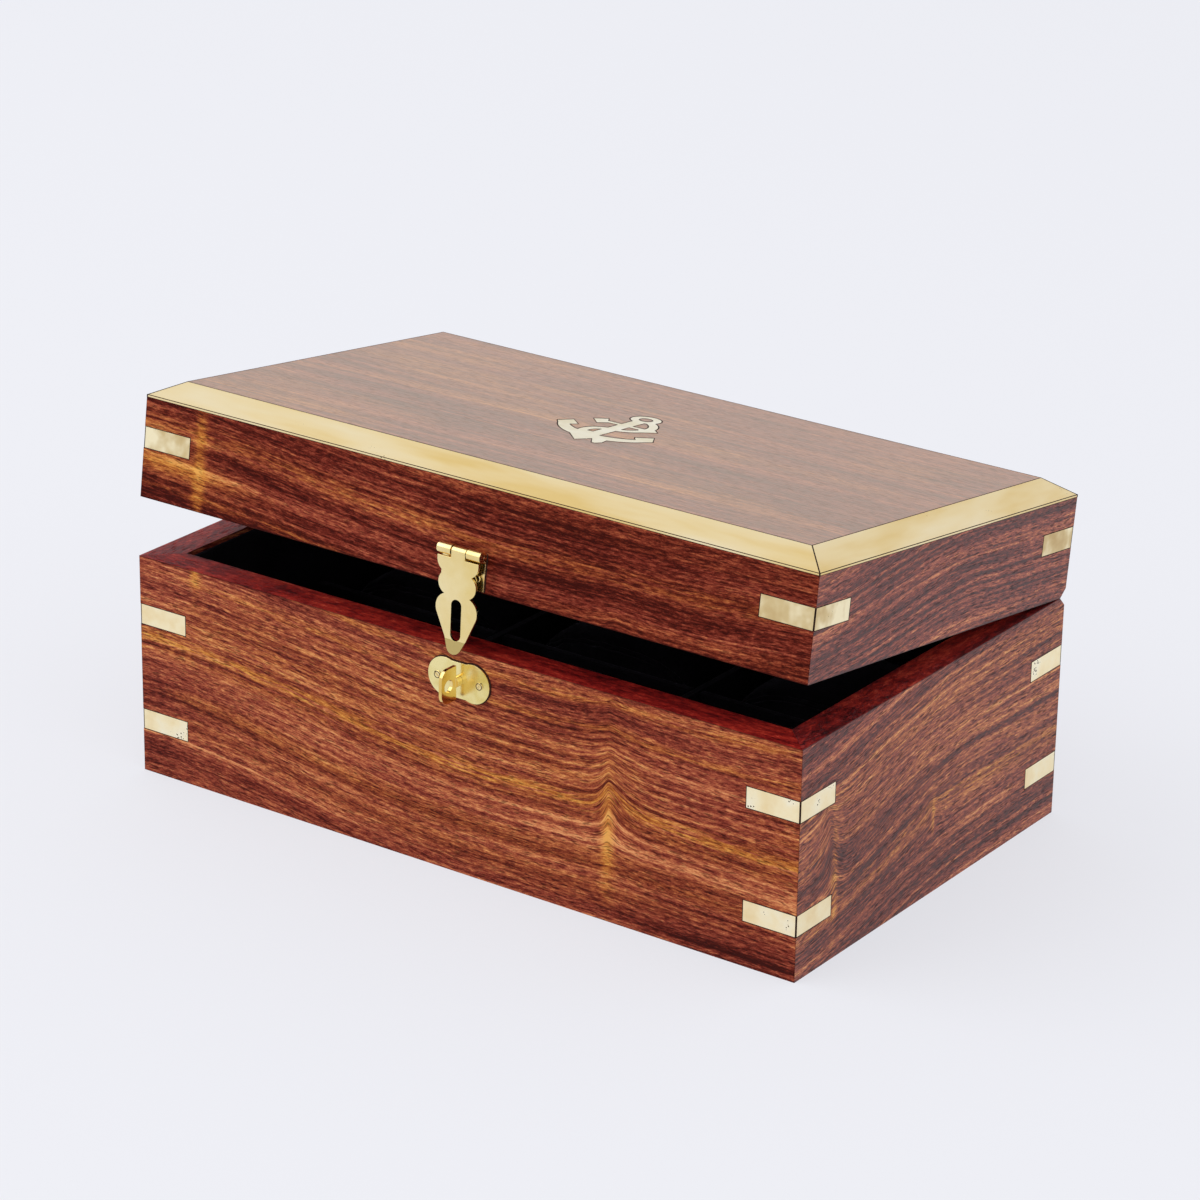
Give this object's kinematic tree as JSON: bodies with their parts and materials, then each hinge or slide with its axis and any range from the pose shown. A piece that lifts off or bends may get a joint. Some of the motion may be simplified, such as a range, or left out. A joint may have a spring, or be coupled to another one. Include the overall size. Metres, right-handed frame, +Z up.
{
  "type": "watch box",
  "caption": "Brass-bound wooden watch box with a hinged lid, an anchor inlay, a slotted hasp and a turning padlock staple; velvet-lined compartments inside.",
  "frame": {"origin": "middle of the underside", "axes": "+X along the length to the right, -Y to the front with the hasp, +Z up"},
  "size_m": [0.254, 0.1668, 0.132],
  "materials": {
    "rosewood": "satin varnish over dark reddish brown",
    "brass_inlay": "satin, sanded flush with the wood",
    "brass_hardware": "polished",
    "black_velvet": "short pile"
  },
  "bodies": {
    "box": {"base_front": "rosewood", "base_back": "rosewood", "base_left": "rosewood", "base_right": "rosewood", "base_bottom": "rosewood", "base_floor_lining": "black_velvet", "base_wall_lining": "black_velvet", "divider_long": "black_velvet", "divider_cross_left": "black_velvet", "divider_cross_right": "black_velvet", "cushion_front_left": "black_velvet", "cushion_front_middle": "black_velvet", "cushion_front_right": "black_velvet", "cushion_back_left": "black_velvet", "cushion_back_middle": "black_velvet", "cushion_back_right": "black_velvet", "corner_low_front_left": "brass_inlay", "corner_low_front_right": "brass_inlay", "corner_low_back_left": "brass_inlay", "corner_low_back_right": "brass_inlay", "corner_high_front_left": "brass_inlay", "corner_high_front_right": "brass_inlay", "corner_high_back_left": "brass_inlay", "corner_high_back_right": "brass_inlay", "hinge_left_base_leaf": "brass_hardware", "hinge_left_pin": "brass_hardware", "hinge_left_base_screws": "brass_hardware", "hinge_right_base_leaf": "brass_hardware", "hinge_right_pin": "brass_hardware", "hinge_right_base_screws": "brass_hardware", "catch_plate": "brass_hardware", "catch_screws": "brass_hardware"},
    "lid": {"corner_lid_front_left": "brass_inlay", "corner_lid_front_right": "brass_inlay", "corner_lid_back_left": "brass_inlay", "corner_lid_back_right": "brass_inlay", "lid_front": "rosewood", "lid_back": "rosewood", "lid_left": "rosewood", "lid_right": "rosewood", "lid_board": "rosewood", "edge_strip_front": "brass_inlay", "edge_strip_back": "brass_inlay", "edge_strip_left": "brass_inlay", "edge_strip_right": "brass_inlay", "anchor_inlay": "brass_inlay", "lid_ceiling_lining": "black_velvet", "lid_wall_lining": "black_velvet", "hinge_left_lid_leaf": "brass_hardware", "hinge_left_lid_screws": "brass_hardware", "hinge_right_lid_leaf": "brass_hardware", "hinge_right_lid_screws": "brass_hardware", "hasp_back_plate": "brass_hardware", "hasp_pin": "brass_hardware", "hasp_screws": "brass_hardware"},
    "hasp": {"hasp_leaf": "brass_hardware"},
    "staple": {"turning_staple": "brass_hardware"}
  },
  "joints": [
    {"name": "lid_hinge", "type": "hinge", "parent": "box", "child": "lid", "pos_m": [0, 0.0741, 0.0752], "axis": [-1, 0, 0], "range_deg": [-7.58, 95.4]},
    {"name": "hasp_hinge", "type": "hinge", "parent": "lid", "child": "hasp", "pos_m": [0.0026, -0.07591, 0.10702], "axis": [-1, 0, 0], "range_deg": [0, 185]},
    {"name": "staple_swivel", "type": "hinge", "parent": "box", "child": "staple", "pos_m": [0.0026, -0.0762, 0.0653], "axis": [0, -1, 0], "continuous": true}
  ]
}
